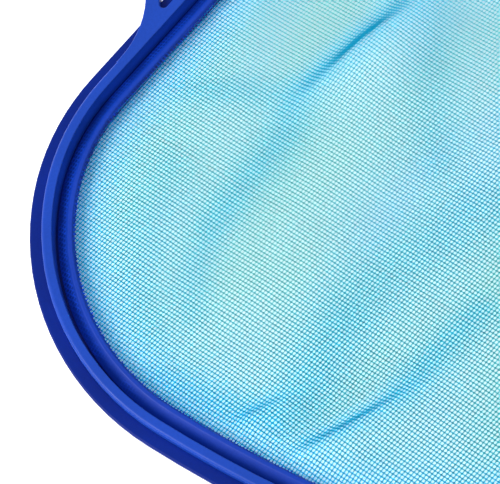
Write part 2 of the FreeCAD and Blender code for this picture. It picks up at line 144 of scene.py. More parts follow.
def power_property(name, description, default):
    """Power of a lamp in watts."""
    return bpy.props.FloatProperty(name=name, description=description, default=default, unit="POWER")


class SKIMMER_PG_net(bpy.types.PropertyGroup):
    """The woven net: its threads and how it lies."""

    thread_diameter: length_property("Thread diameter", "Thickness of one thread", 0.43 * MM)
    band_swell: bpy.props.FloatProperty(
        name="Band swell", description="How much fuller the threads are in the darker bands",
        default=0.35, min=0.01,
    )
    across_pitch: length_property(
        "Pitch along X", "Distance between threads that run to the front", 1.471 * MM
    )
    along_pitch: length_property("Pitch along Y", "Distance between threads that run sideways", 1.243 * MM)
    sideways_angle: angle_property("Sideways threads", "Direction of the threads that run sideways", -1.15)
    forward_angle: angle_property(
        "Forward threads", "Direction of the threads that run to the front", -85.4
    )
    grip: length_property("Grip", "How far each thread reaches into the slot of the ring", 1.2 * MM)
    weave_rise: length_property("Weave rise", "How far a thread rises and dips at a crossing", 0.13 * MM)
    wave_fade: length_property(
        "Wave fade", "Distance from the ring in which the waves flatten out", 28 * MM
    )
    panels: bpy.props.IntProperty(
        name="Panels", description="Strips that the net is kept in", default=5, min=1
    )
    sideways_colour: colour_property(
        "Sideways threads", "Colour of the sideways threads", (0.002, 0.43, 0.46)
    )
    forward_colour: colour_property("Forward threads", "Colour of the forward threads", (0.003, 0.51, 0.55))
    deep_colour: colour_property(
        "Deep streaks", "Colour of the threads in the deeper streaks", (0.0, 0.42, 0.57)
    )
    # Painted shade: the threads in the darker bands and along the ring take this colour.
    band_shade_colour: colour_property("Bands", "Colour of the threads in the darker bands", (0.0, 0.53, 0.69))
    # Painted bounce light: the threads near the ring take this bluer colour.
    ring_bounce_colour: colour_property("Edge", "Colour of the threads along the ring", (0.0, 0.53, 0.78))
    # Painted light: the steep side of each fold takes this brighter colour.
    fold_light_colour: colour_property("Folds", "Colour of the threads in the folds", (0.0, 0.57, 0.80))


class SKIMMER_PG_mouldings(bpy.types.PropertyGroup):
    """Colours of the moulded plastic."""

    # Painted shade: the lower moulding gets a darker blue than the top frame for the shade it lies in.
    base_shaded_colour: colour_property("Base ring", "Colour of the lower moulding", (0.0006, 0.0175, 0.225))
    frame_colour: colour_property("Top frame", "Colour of the ridge, yoke and hub", (0.009, 0.063, 0.475))
    ledge_colour: colour_property(
        "Net ring", "Colour of the moulding that holds the net", (0.005, 0.049, 0.45)
    )
    arm_colour: colour_property("Clip arms", "Colour of the clip arms", (0.60, 0.61, 0.60))
    steel_colour: colour_property(
        "Steel", "Colour of the buttons, screws, pin and spring", (0.60, 0.61, 0.63)
    )


class SKIMMER_PG_stage(bpy.types.PropertyGroup):
    """Camera, light and floor."""

    aim: bpy.props.FloatVectorProperty(
        name="Aim", description="Point that the camera looks at", size=3, unit="LENGTH",
        default=(-139.11 * MM, -65.68 * MM, 5.25 * MM),
    )
    distance: length_property("Distance", "From the camera to the aim", 800 * MM)
    azimuth: angle_property("Azimuth", "Direction of the camera, seen from above", -35.15)
    elevation: angle_property("Elevation", "Height of the camera above the floor", 65.24)
    roll: angle_property("Roll", "Turn of the picture about the line of sight", -16.48)
    lens: bpy.props.FloatProperty(name="Lens", description="Focal length in millimetres", default=161.28)
    floor_size: length_property("Floor", "Side of the square floor", 6.0)
    floor_colour: colour_property("Floor colour", "Colour of the floor", (0.90, 0.90, 0.89))
    floor_lift: bpy.props.FloatProperty(
        name="Floor lift", description="How much brighter the floor is where it is seen",
        default=2.03, min=1.0,
    )
    sky_level: bpy.props.FloatProperty(
        name="Sky", description="Level of the even light", default=0.50, min=0.0
    )
    key_power: power_property("Key", "Power of the key lamp", 15.5)
    edge_power: power_property("Edge", "Power of the low lamp", 5.0)
    fill_power: power_property("Fill", "Power of the fill lamp", 4.0)


def add_node(tree, kind, values=None, **settings):
    """A shader node with its settings, and its inputs given as values or as sockets to link."""
    made = tree.nodes.new(kind)
    for name, value in settings.items():
        setattr(made, name, value)
    for name, value in (values or {}).items():
        if isinstance(value, bpy.types.NodeSocket):
            tree.links.new(value, made.inputs[name])
        else:
            made.inputs[name].default_value = value
    return made


def new_material(name):
    """An empty node material and the places that its pattern is read from."""
    material = bpy.data.materials.new(name)
    material.use_nodes = True
    tree = material.node_tree
    tree.nodes.clear()
    places = add_node(tree, "ShaderNodeTexCoord").outputs["Object"]
    return material, tree, places


def finish_material(tree, values):
    """Ends a material in one principled shader."""
    shader = add_node(tree, "ShaderNodeBsdfPrincipled", values)
    output = add_node(tree, "ShaderNodeOutputMaterial")
    tree.links.new(shader.outputs["BSDF"], output.inputs["Surface"])


def noise_at(tree, places, size, detail=2.0, roughness=0.5):
    """Noise whose features are about size metres across."""
    found = add_node(
        tree, "ShaderNodeTexNoise",
        {"Vector": places, "Scale": 1.0 / size, "Detail": detail, "Roughness": roughness},
    )
    return found.outputs["Fac"]


def spread(tree, value, low, high, start=0.3, end=0.7):
    """Stretches a value between start and end over low to high."""
    found = add_node(
        tree, "ShaderNodeMapRange",
        {"Value": value, "From Min": start, "From Max": end, "To Min": low, "To Max": high},
    )
    return found.outputs["Result"]


def math_node(tree, operation, first, second=0.0):
    """One sum on two values."""
    found = add_node(tree, "ShaderNodeMath", operation=operation)
    for socket, value in zip(found.inputs, (first, second)):
        if isinstance(value, bpy.types.NodeSocket):
            tree.links.new(value, socket)
        else:
            socket.default_value = value
    return found.outputs["Value"]


def tinted(tree, colour, factor):
    """A colour made darker or brighter by a factor that varies over the surface."""
    found = add_node(tree, "ShaderNodeVectorMath", {0: (*colour,), 3: factor}, operation="SCALE")
    return found.outputs["Vector"]


def mixed(tree, share, first, second):
    """A colour that goes from the first to the second as share goes from 0 to 1."""
    found = add_node(tree, "ShaderNodeMix", {0: share, 6: first, 7: second}, data_type="RGBA")
    return found.outputs[2]


def moulded_plastic(name, colour, roughness, grain=0.5, gloss=0.2, imprint=None):
    """Satin moulded plastic: slight cloudiness, a fine spark-eroded grain and paler worn edges.

    An imprint gives the marks of something under its skin, and painted shade from the ridge around them.
    """
    material, tree, places = new_material(name)
    cloud = spread(tree, noise_at(tree, places, 35 * MM, 3.0), 0.92, 1.08)
    speck = spread(tree, noise_at(tree, places, 1.1 * MM, 2.0), 0.95, 1.05)
    worn = spread(
        tree, add_node(tree, "ShaderNodeNewGeometry").outputs["Pointiness"], 1.0, 1.35, 0.52, 0.60
    )
    factor = math_node(tree, "MULTIPLY", math_node(tree, "MULTIPLY", cloud, speck), worn)
    height = noise_at(tree, places, 0.45 * MM, 2.0)
    if imprint is not None:
        marks, ridge_shade = imprint(tree, places)
        height = math_node(tree, "ADD", height, math_node(tree, "MULTIPLY", marks, 2.2))
        # Painted shade: the slope is darkened where the ridge would shade it.
        factor = math_node(tree, "MULTIPLY", factor, spread(tree, ridge_shade, 1.0, 0.55, 0.0, 1.0))
        factor = math_node(tree, "MULTIPLY", factor, spread(tree, marks, 1.0, 2.3, 0.1, 0.9))
    bump = add_node(
        tree, "ShaderNodeBump", {"Height": height, "Strength": grain, "Distance": 0.03 * MM}
    )
    finish_material(tree, {
        "Base Color": tinted(tree, colour, factor),
        "Roughness": spread(tree, noise_at(tree, places, 6 * MM, 3.0), roughness - 0.05, roughness + 0.07),
        "Specular IOR Level": gloss,
        "Normal": bump.outputs["Normal"],
    })
    return material


def net_imprint(tree, places):
    """Fuzzy print of the net on the slope of the ledge, and painted shade from the ridge on the slope at
    the back.
    """
    net = bpy.context.scene.skimmer_net
    strips = []
    for angle, pitch in (
        (net.sideways_angle + math.pi / 2, net.along_pitch),
        (net.forward_angle + math.pi / 2, net.across_pitch),
    ):
        turned = add_node(
            tree, "ShaderNodeMapping", {"Vector": places, "Rotation": (0.0, 0.0, -angle)},
            vector_type="POINT",
        )
        waves = add_node(
            tree, "ShaderNodeTexWave",
            {"Vector": turned.outputs["Vector"], "Scale": math.tau / (20 * pitch), "Distortion": 1.5,
             "Detail": 2.0, "Detail Scale": 2.0},
            wave_type="BANDS", bands_direction="X", wave_profile="SIN",
        )
        strips.append(waves.outputs["Fac"])
    cross = math_node(tree, "MAXIMUM", *strips)
    parts = add_node(tree, "ShaderNodeSeparateXYZ", {"Vector": places}).outputs
    slope = math_node(
        tree, "MULTIPLY",
        spread(tree, parts["Z"], 0.0, 1.0, *SLOPE_FOOT),
        spread(tree, parts["Z"], 1.0, 0.0, *SLOPE_TOP),
    )
    # Painted shade: the back of the slope is darkened as if in the shadow of the ridge.
    ridge_shade = math_node(tree, "MULTIPLY", slope, spread(tree, parts["Y"], 0.0, 1.0, *RIDGE_SHADE_ZONE))
    slope = math_node(tree, "MULTIPLY", slope, spread(tree, parts["Y"], 0.12, 1.0, *PRINTED_ZONE))
    patchy = spread(tree, noise_at(tree, places, 14 * MM, 2.0), 0.35, 1.0, 0.4, 0.6)
    strong = spread(tree, cross, 0.0, 1.0, 0.55, 0.95)
    return math_node(tree, "MULTIPLY", math_node(tree, "MULTIPLY", strong, slope), patchy), ridge_shade


def fold_light_mask(tree, places, crease):
    """Share of painted light along the steep side of a fold: 1 there, fading out around it."""
    turn = math.atan2(crease.line.y, crease.line.x)
    local = add_node(
        tree, "ShaderNodeMapping",
        {"Vector": places, "Location": (*crease.start, 0.0), "Rotation": (0.0, 0.0, turn)},
        vector_type="TEXTURE",
    )
    parts = add_node(tree, "ShaderNodeSeparateXYZ", {"Vector": local.outputs["Vector"]}).outputs
    half = crease.line.length / 2
    along = math_node(tree, "ABSOLUTE", math_node(tree, "SUBTRACT", parts["X"], half))
    across = math_node(tree, "ABSOLUTE", math_node(tree, "SUBTRACT", parts["Y"], 0.7 * crease.far))
    return math_node(
        tree, "MULTIPLY",
        spread(tree, along, 1.0, 0.0, 0.2 * half, 1.8 * half),
        spread(tree, across, 1.0, 0.0, 0.3 * crease.far, 2.2 * crease.far),
    )


def thread_material(name, colour, net):
    """Glossy drawn thread: deeper in long streaks, with painted shade in the darker bands and along the
    ring, painted bounce light near the ring and painted light on the steep side of the folds.
    """
    material, tree, places = new_material(name)
    drawn = add_node(
        tree, "ShaderNodeMapping",
        {"Vector": places, "Rotation": (0.0, 0.0, STREAK_ANGLE), "Scale": (0.3, 1.0, 1.0)},
    )
    streaks = spread(tree, noise_at(tree, drawn.outputs["Vector"], 30 * MM, 2.0), 0.0, 1.0, 0.38, 0.64)
    # Painted light on the steep side of each fold.
    folds = fold_light_mask(tree, places, CREASES[0])
    for crease in CREASES[1:]:
        folds = math_node(tree, "MAXIMUM", folds, fold_light_mask(tree, places, crease))
    plain = mixed(tree, streaks, (*colour, 1.0), (*net.deep_colour, 1.0))
    # Painted shade: the darker bands and the band along the ring tint the threads.
    band = add_node(tree, "ShaderNodeAttribute", attribute_name="band").outputs["Fac"]
    plain = mixed(tree, band, plain, (*net.band_shade_colour, 1.0))
    # Painted bounce light from the ring tints the threads near it.
    edge = add_node(tree, "ShaderNodeAttribute", attribute_name="edge").outputs["Fac"]
    plain = mixed(tree, edge, plain, (*net.ring_bounce_colour, 1.0))
    mottled = spread(tree, noise_at(tree, places, 2.2 * MM, 2.0), 0.88, 1.12)
    shade = add_node(
        tree, "ShaderNodeVectorMath", {0: mixed(tree, folds, plain, (*net.fold_light_colour, 1.0)), 3: mottled},
        operation="SCALE",
    )
    bump = add_node(
        tree, "ShaderNodeBump",
        {"Height": noise_at(tree, places, 0.3 * MM, 2.0), "Strength": 0.3, "Distance": 0.02 * MM},
    )
    finish_material(tree, {
        "Base Color": shade.outputs["Vector"],
        "Roughness": spread(tree, noise_at(tree, places, 3 * MM), 0.34, 0.5),
        "Specular IOR Level": 0.25,
        "Transmission Weight": 1.0,
        "IOR": 1.33,
        "Normal": bump.outputs["Normal"],
    })
    return material


def turned_steel(name, colour, roughness, streak):
    """Bright steel with fine streaks, as turned or rolled."""
    material, tree, places = new_material(name)
    drawn = add_node(tree, "ShaderNodeMapping", {"Vector": places, "Scale": streak})
    grain = noise_at(tree, drawn.outputs["Vector"], 0.25 * MM, 3.0, 0.6)
    stain = spread(tree, noise_at(tree, places, 5 * MM, 3.0), 0.88, 1.06)
    bump = add_node(tree, "ShaderNodeBump", {"Height": grain, "Strength": 0.25, "Distance": 0.02 * MM})
    finish_material(tree, {
        "Base Color": tinted(
            tree, colour, math_node(tree, "MULTIPLY", stain, spread(tree, grain, 0.94, 1.06))
        ),
        "Metallic": 1.0,
        "Roughness": spread(tree, grain, roughness - 0.06, roughness + 0.08),
        "Normal": bump.outputs["Normal"],
    })
    return material


def dress(node, material):
    """Gives a node of the frame its finish."""
    mesh = NODES[node].data
    mesh.materials.clear()
    mesh.materials.append(material)


def new_piece(name, mesh, body, slot, *materials):
    """A finished piece at the origin, riding on a body."""
    piece = bpy.data.objects.new(name, mesh)
    bpy.context.scene.collection.objects.link(piece)
    for material in materials:
        mesh.materials.append(material)
    if body is not None:
        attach(piece, body)
    return piece


def merged_copy(node):
    """A bmesh of a node of the frame, with its loose triangles merged."""
    shape = bmesh.new()
    shape.from_mesh(NODES[node].data)
    bmesh.ops.remove_doubles(shape, verts=shape.verts, dist=0.002 * MM)
    return shape


class SKIMMER_OT_finish_mouldings(bpy.types.Operator):
    """Give the base ring, top frame and net ring their moulded finish"""

    bl_idname = "skimmer.finish_mouldings"
    bl_label = "Finish mouldings"

    def execute(self, context):
        colours = context.scene.skimmer_mouldings
        # The darker blue of the base ring is painted shade.
        dress("base_ring", moulded_plastic("base_ring_plastic", colours.base_shaded_colour, 0.36, gloss=0.12))
        dress("top_frame", moulded_plastic("top_frame_plastic", colours.frame_colour, 0.34))
        dress("net_ring", moulded_plastic(
            "net_ring_plastic", colours.ledge_colour, 0.42, imprint=net_imprint
        ))
        return {"FINISHED"}


class Crease:
    """A fold of the net: a gentle side towards the front left and a steep side away from it."""

    # How fast it tapers off along its line
    TAPER = 2.1
    # Share of its rise that the net is drawn in, and how far off that goes in widths of its gentle side
    TAKE_UP = 0.25
    PULL_WIDTHS = 4.0

    def __init__(self, start, end, rise, near, far):
        self.start = Vector(start) * MM
        self.line = Vector(end) * MM - self.start
        self.rise = rise * MM
        self.near = near * MM
        self.far = far * MM
        self.across = Vector((-self.line.y, self.line.x)).normalized()

    def measure(self, place):
        """Share of the fold at this place along it, and the distance across it."""
        offset = place - self.start
        along = offset.dot(self.line) / self.line.length_squared
        return math.exp(-((self.TAPER * (along - 0.5)) ** 2)), offset.dot(self.across)

    def height(self, place):
        """Rise of the net at this place."""
        share, across = self.measure(place)
        width = self.near if across < 0 else self.far
        return self.rise * share * math.exp(-((across / width) ** 2))

    def pull(self, place):
        """Sideways move of the net towards the fold, which takes up its length."""
        share, across = self.measure(place)
        reach = self.PULL_WIDTHS * self.near
        drawn = -self.TAKE_UP * self.rise * share * math.tanh(across / self.near)
        return self.across * (drawn * math.exp(-(across / reach) ** 2))


CREASES = (
    # Start and end, rise, and width of the gentle and of the steep side, in millimetres
    Crease((-80.5, -45.8), (-27.5, -54.2), 6.6, 17.0, 4.6),
    Crease((-194.5, -129.2), (-148.0, -147.2), 4.4, 10.0, 2.8),
    Crease((-195.6, -104.9), (-177.5, -113.6), 2.9, 7.0, 2.2),
)
BANDS = (
    # Course in millimetres, half width in millimetres and strength of a darker band of painted shade on the
    # net
    (((-79, -41), (-46, -46), (-32, -48)), 4.2, 1.2),
    (((-82, -39), (-96, -47), (-128, -48), (-144, -49)), 7.0, 0.7),
    (((-144, -49), (-159, -55), (-172, -65)), 7.0, 0.42),
    (((-113, 5), (-98, -17), (-84, -39)), 6.5, 0.5),
    (((-79, -122), (-112, -112), (-139, -110)), 13.0, 0.42),
    (((-139, -110), (-159, -113), (-178, -117)), 12.0, 0.62),
    (((-185, -129), (-173, -137), (-151, -143)), 2.8, 1.2),
    (((-151, -143), (-133, -144), (-110, -146)), 5.0, 0.8),
    (((-193, -104), (-185, -107), (-177, -111)), 2.6, 0.9),
    (((-27, -58), (-55, -83), (-75, -100)), 8.0, 0.35),
    (((-134, -21), (-158, -29), (-181, -47), (-194, -68)), 10.0, 0.42),
    (((-200, -70), (-196, -90), (-186, -116)), 8.0, 0.9),
)
WAVES = (
    # Direction of travel in degrees, length and rise in millimetres, and phase
    (84.0, 46.0, 0.32, 0.4),
    (62.0, 33.0, 0.18, 2.1),
    (110.0, 71.0, 0.4, 4.0),
)


def net_height(place):
    """Height of the middle of the net above its edge, away from the ring."""
    total = 0.0
    for travel, length, rise, phase in WAVES:
        heading = Vector((math.cos(math.radians(travel)), math.sin(math.radians(travel))))
        bend = WAVE_BEND * noise.noise(
            Vector((place.x * WAVE_BEND_SCALE, place.y * WAVE_BEND_SCALE, travel))
        )
        total += rise * MM * math.sin(math.tau * place.dot(heading) / (length * MM) + phase + bend)
    total += PUCKER_RISE * noise.noise(Vector((place.x * PUCKER_SCALE, place.y * PUCKER_SCALE, 7.0)))
    return total


def shade_band_share(place):
    """How strong the darker bands of painted shade on the net are at a place: 0 outside them."""
    best = 0.0
    for course, width, strength in BANDS:
        for first, second in zip(course, course[1:]):
            start, line = Vector(first) * MM, (Vector(second) - Vector(first)) * MM
            share = max(0.0, min(1.0, (place - start).dot(line) / line.length_squared))
            gap = (place - start - line * share).length
            best = max(best, strength * math.exp(-((gap / (width * MM)) ** 2)))
    return best


class NetWeaver:
    """Works out where the threads run, and makes their meshes."""

    def __init__(self, net):
        self.net = net
        self.middle = (NET_LOW.z + NET_HIGH.z) / 2
        self.probe = NET_LOW.z - PROBE_DROP
        self.wall = BVHTree.FromPolygons(
            [v.co.copy() for v in NODES["net_ring"].data.vertices],
            [tuple(p.vertices) for p in NODES["net_ring"].data.polygons],
        )
        self.sideways = Vector((math.cos(net.sideways_angle), math.sin(net.sideways_angle)))
        self.forward = Vector((math.cos(net.forward_angle), math.sin(net.forward_angle)))
        self.origin = Vector((0.0, (NET_LOW.y + NET_HIGH.y) / 2))
        self.points = {}
        self.edges = {}
        self.ends = []

    def flat(self, column, row):
        """Crossing of two threads in the flat net."""
        return self.origin + self.sideways * (column * self.net.across_pitch) + self.forward * (
            row * self.net.along_pitch
        )

    def crossing(self, column, row):
        """Middle of a crossing, with the waves and folds, and the fullness of its threads."""
        key = (column, row)
        if key not in self.points:
            place = self.flat(column, row)
            probe = Vector((place.x, place.y, self.probe))
            gap = self.wall.find_nearest(probe)[3]
            share = min(1.0, gap / self.net.wave_fade)
            share = share * share * (3 - 2 * share)
            near = min(1.0, gap / FOLD_FADE)
            shift = Vector((0.0, 0.0))
            height = share * net_height(place)
            for crease in CREASES:
                height += near * crease.height(place)
                shift += near * crease.pull(place)
            wander = Vector((
                noise.noise(Vector((place.x * WANDER_SCALE, place.y * WANDER_SCALE, 1.0))),
                noise.noise(Vector((place.x * WANDER_SCALE, place.y * WANDER_SCALE, 5.0))),
            ))
            shift += wander * (WANDER * near)
            # Painted shade along the ring: the threads are made fuller there.
            edge = RING_SHADE_STRENGTH * math.exp(-((gap / RING_SHADE_WIDTH) ** 2))
            full = 1.0 + self.net.band_swell * max(edge, shade_band_share(place))
            # Painted bounce light: how strongly the ring tints the threads near it.
            self.edges[key] = math.exp(-((gap / RING_BOUNCE_WIDTH) ** 2))
            self.points[key] = Vector(
                (place.x + shift.x, place.y + shift.y, self.middle + height, full)
            )
        return self.points[key]

    def mark_bands(self, mesh):
        """Keeps at each vertex how strong the painted shade of the bands and the painted bounce light of
        the ring are at its crossing, for the colour.
        """
        across, along = self.sideways * self.net.across_pitch, self.forward * self.net.along_pitch
        turned = Matrix(((across.x, along.x), (across.y, along.y))).inverted()
        bands, edges = [], []
        for vertex in mesh.vertices:
            column, row = turned @ (vertex.co.xy - self.origin)
            key = (round(column), round(row))
            bands.append((self.points[key].w - 1.0) / self.net.band_swell if key in self.points else 0.0)
            edges.append(self.edges.get(key, 1.0))
        for name, values in (("band", bands), ("edge", edges)):
            mesh.attributes.new(name, "FLOAT", "POINT").data.foreach_set("value", values)

    def reach(self, start, heading):
        """Where a thread that leaves start meets the inner wall of the ring."""
        hit = self.wall.ray_cast(
            Vector((start.x, start.y, self.probe)), Vector((heading.x, heading.y, 0.0))
        )
        if hit[0] is None:
            raise RuntimeError("a thread of the net meets no wall")
        return hit[3]

    def thread(self, start_index, pitch, heading, lift, along_first, index):
        """Points of one thread from wall to wall, each with its place in the row."""
        start = self.flat(*((start_index, index) if along_first else (index, start_index)))
        far = self.reach(start, heading)
        near = self.reach(start, -heading)
        first = math.ceil(start_index - (near - END_CLEARANCE * pitch) / pitch)
        last = math.floor(start_index + (far - END_CLEARANCE * pitch) / pitch)
        made = []
        for place, distance in ((first, -near - self.net.grip), (first, -near)):
            end = start + heading * distance
            made.append((place, Vector((end.x, end.y, self.middle, 1.0))))
        for k in range(first, last + 1):
            column, row = (k, index) if along_first else (index, k)
            side = lift if (column + row) % 2 else -lift
            made.append((k, self.crossing(column, row) + Vector((0.0, 0.0, side, 0.0))))
        for place, distance in ((last, far), (last, far + self.net.grip)):
            end = start + heading * distance
            made.append((place, Vector((end.x, end.y, self.middle, 1.0))))
        self.ends.append((start - heading * near, heading))
        self.ends.append((start + heading * far, -heading))
        return made

    def inside(self, place):
        """Whether a place lies in the opening of the ring: nothing stands between it and the middle."""
        start = Vector((place.x, place.y, self.probe))
        line = Vector((self.origin.x, self.origin.y, self.probe)) - start
        return self.wall.ray_cast(start, line.normalized(), line.length)[0] is None

    def threads(self, sideways):
        """All threads of one family, each with its index and its points."""
        net = self.net
        size = NET_HIGH - NET_LOW
        reach = {
            True: int(size.x / 2 / net.across_pitch) + SPARE_THREADS,
            False: int(size.y / 2 / net.along_pitch) + SPARE_THREADS,
        }
        pitch = net.across_pitch if sideways else net.along_pitch
        heading = self.sideways if sideways else self.forward
        lift = net.weave_rise if sideways else -net.weave_rise
        found = []
        for index in range(-reach[not sideways], reach[not sideways] + 1):
            for start in range(-reach[sideways], reach[sideways] + 1, TRIED_STEP):
                if self.inside(self.flat(*((start, index) if sideways else (index, start)))):
                    found.append((index, self.thread(start, pitch, heading, lift, sideways, index)))
                    break
        return found


def thread_mesh(name, paths, radius):
    """Mesh of many thin tubes; each path is a list of points and a material index."""
    curve = bpy.data.curves.new(name, "CURVE")
    curve.dimensions = "3D"
    curve.bevel_depth = radius
    curve.bevel_resolution = 0
    curve.use_fill_caps = True
    for points, index in paths:
        spline = curve.splines.new("POLY")
        spline.points.add(len(points) - 1)
        spline.points.foreach_set("co", [value for point in points for value in (*point.xyz, 1.0)])
        spline.points.foreach_set("radius", [point.w for point in points])
        spline.material_index = index
    holder = bpy.data.objects.new(name, curve)
    bpy.context.scene.collection.objects.link(holder)
    bpy.context.view_layer.update()
    mesh = bpy.data.meshes.new_from_object(holder.evaluated_get(bpy.context.evaluated_depsgraph_get()))
    bpy.data.objects.remove(holder)
    shape = bmesh.new()
    shape.from_mesh(mesh)
    bmesh.ops.remove_doubles(shape, verts=shape.verts, dist=0.001 * MM)
    shape.to_mesh(mesh)
    shape.free()
    mesh.shade_smooth()
    return mesh


class SKIMMER_OT_weave_net(bpy.types.Operator):
    """Weave the net from wall to wall of the net ring, in panels"""

    bl_idname = "skimmer.weave_net"
    bl_label = "Weave net"

    def execute(self, context):
        net = context.scene.skimmer_net
        weaver = NetWeaver(net)
        rows = weaver.threads(sideways=True)
        columns = weaver.threads(sideways=False)
        if not rows or not columns:
            raise RuntimeError("the net has no threads")
        first, last = columns[0][0], columns[-1][0]
        materials = (
            thread_material("sideways_thread", net.sideways_colour, net),
            thread_material("forward_thread", net.forward_colour, net),
        )
        cuts = [first + round(k * (last + 1 - first) / net.panels) for k in range(net.panels + 1)]
        cuts[0] -= EDGE_COLUMNS
        cuts[-1] += EDGE_COLUMNS
        for number, (start, stop) in enumerate(zip(cuts, cuts[1:]), 1):
            paths = [(row_stretch(row, start, stop), 0) for _, row in rows]
            own = [column for index, column in columns if start <= index < stop]
            paths += [([point for _, point in column], 1) for column in own]
            paths = [path for path in paths if len(path[0]) > 1]
            name = f"net_panel_{number}"
            piece = new_piece(name, thread_mesh(name, paths, net.thread_diameter / 2), "root", "net_cyan")
            weaver.mark_bands(piece.data)
            for slot, material in enumerate(materials):
                if slot < len(piece.data.materials):
                    piece.data.materials[slot] = material
                else:
                    piece.data.materials.append(material)
            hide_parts("leaf_net")
        make_flash(weaver.ends, weaver.middle)
        return {"FINISHED"}


def row_stretch(row, start, stop):
    """The part of a sideways thread that lies in one panel, cut halfway between two crossings."""
    inside = [k for k, (place, _) in enumerate(row) if start <= place < stop]
    if not inside:
        return []
    points = [row[k][1] for k in inside]
    before, after = inside[0] - 1, inside[-1] + 1
    if before >= 0:
        points.insert(0, (row[before][1] + points[0]) / 2)
    if after < len(row):
        points.append((row[after][1] + points[-1]) / 2)
    return points


def make_flash(ends, height):
    """Little noses of plastic that crept out along each thread when the ring was moulded."""
    chance = random.Random(4)
    shape = bmesh.new()
    for place, inward in ends:
        length = chance.uniform(*FLASH_LENGTHS) * MM
        middle = place + inward * ((length - FLASH_DEPTH_IN_RING) / 2)
        lean = Vector((0.0, 0.0, 1.0)).rotation_difference(Vector((inward.x, inward.y, 0.0)))
        bmesh.ops.create_cone(
            shape, cap_ends=True, segments=6,
            radius1=chance.uniform(*FLASH_ROOT_RADII) * MM, radius2=FLASH_TIP_RADIUS,
            depth=length + FLASH_DEPTH_IN_RING,
            matrix=Matrix.Translation((middle.x, middle.y, height)) @ lean.to_matrix().to_4x4(),
        )
    mesh = bpy.data.meshes.new("net_flash")
    shape.to_mesh(mesh)
    shape.free()
    mesh.shade_smooth()
    new_piece("net_flash", mesh, "root", "ledge_blue", bpy.data.materials["net_ring_plastic"])


class SKIMMER_OT_finish_metal(bpy.types.Operator):
    """Give the screws, pin and buttons their steel finish"""

    bl_idname = "skimmer.finish_metal"
    bl_label = "Finish metal"

    def execute(self, context):
        colours = context.scene.skimmer_mouldings
        for node, name, roughness, streak in (
            ("rim_screws", "rim_screw_steel", 0.34, (1.0, 1.0, 0.3)),
            ("spigot_screws", "spigot_screw_steel", 0.34, (1.0, 1.0, 0.3)),
            ("clip_pin", "clip_pin_steel", 0.28, (1.0, 1.0, 0.15)),
        ):
            dress(node, turned_steel(name, colours.steel_colour, roughness, streak))
        button = turned_steel("button_steel", colours.steel_colour, 0.25, (0.15, 1.0, 1.0))
        for side in ("left", "right"):
            dress(f"snap_button_{side}", button)
        return {"FINISHED"}


class SKIMMER_OT_finish_spigot(bpy.types.Operator):
    """Give the spigot and the clip arms their moulded finish"""

    bl_idname = "skimmer.finish_spigot"
    bl_label = "Finish spigot and clip arms"

    def execute(self, context):
        colours = context.scene.skimmer_mouldings
        dress("handle_spigot", moulded_plastic("spigot_plastic", colours.frame_colour, 0.38))
        white = moulded_plastic("clip_plastic", colours.arm_colour, 0.40, 0.35)
        for side in ("left", "right"):
            dress(f"clip_arm_{side}", white)
        return {"FINISHED"}


class SKIMMER_OT_shape_spring(bpy.types.Operator):
    """Cut the leaf spring of the clip into two halves, each cut across into pieces"""

    bl_idname = "skimmer.shape_spring"
    bl_label = "Shape clip spring"

    def execute(self, context):
        colours = context.scene.skimmer_mouldings
        steel = turned_steel("spring_steel", colours.steel_colour, 0.22, (1.0, 0.2, 1.0))
        half_width = (SPRING_HIGH.x - SPRING_LOW.x) / 2
        for side, sign in (("left", -1), ("right", 1)):
            shape = merged_copy("clip_spring")
            for step in range(1, SPRING_CUTS):
                cut_across(shape, sign * half_width * step / SPRING_CUTS, sign)
            cut_across(shape, 0.0, sign, keep_half=True)
            mesh = bpy.data.meshes.new(f"clip_spring_{side}")
            shape.to_mesh(mesh)
            shape.free()
            piece = new_piece(f"clip_spring_{side}", mesh, None, "button_steel", steel)
            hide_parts("clip_spring")
            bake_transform(piece)
        return {"FINISHED"}


def cut_across(shape, place, sign, keep_half=False):
    """Cuts a shape square to X, and drops and closes the far side if only half is kept."""
    found = bmesh.ops.bisect_plane(
        shape, geom=shape.verts[:] + shape.edges[:] + shape.faces[:], dist=0.0005 * MM,
        plane_co=(place, 0.0, 0.0), plane_no=(sign, 0.0, 0.0), clear_inner=keep_half,
    )
    if keep_half:
        rim = [item for item in found["geom_cut"] if isinstance(item, bmesh.types.BMEdge)]
        bmesh.ops.holes_fill(shape, edges=rim, sides=0)


class SKIMMER_OT_set_stage(bpy.types.Operator):
    """Set the floor, the light and the camera"""

    bl_idname = "skimmer.set_stage"
    bl_label = "Set stage"

    def execute(self, context):
        stage = context.scene.skimmer_stage
        lay_floor(stage)
        light_sky(context.scene, stage)
        for name, direction, distance, side, power in (
            ("key_lamp", (-0.62, 0.34, 0.71), 1.7, 0.75, stage.key_power),
            ("edge_lamp", (-0.78, 0.44, 0.44), 1.7, 0.60, stage.edge_power),
            ("fill_lamp", (0.45, -0.70, 0.55), 2.0, 1.4, stage.fill_power),
        ):
            add_lamp(name, Vector(direction), distance, side, power)
        place_camera(context.scene, stage)
        context.scene.view_settings.view_transform = "Standard"
        return {"FINISHED"}


def seen_directly(tree):
    """1 for what the camera sees, directly, in a reflection or through glass, else 0."""
    path = add_node(tree, "ShaderNodeLightPath")
    mirrored = math_node(
        tree, "MAXIMUM", path.outputs["Is Glossy Ray"], path.outputs["Is Transmission Ray"]
    )
    return math_node(tree, "MAXIMUM", path.outputs["Is Camera Ray"], mirrored)


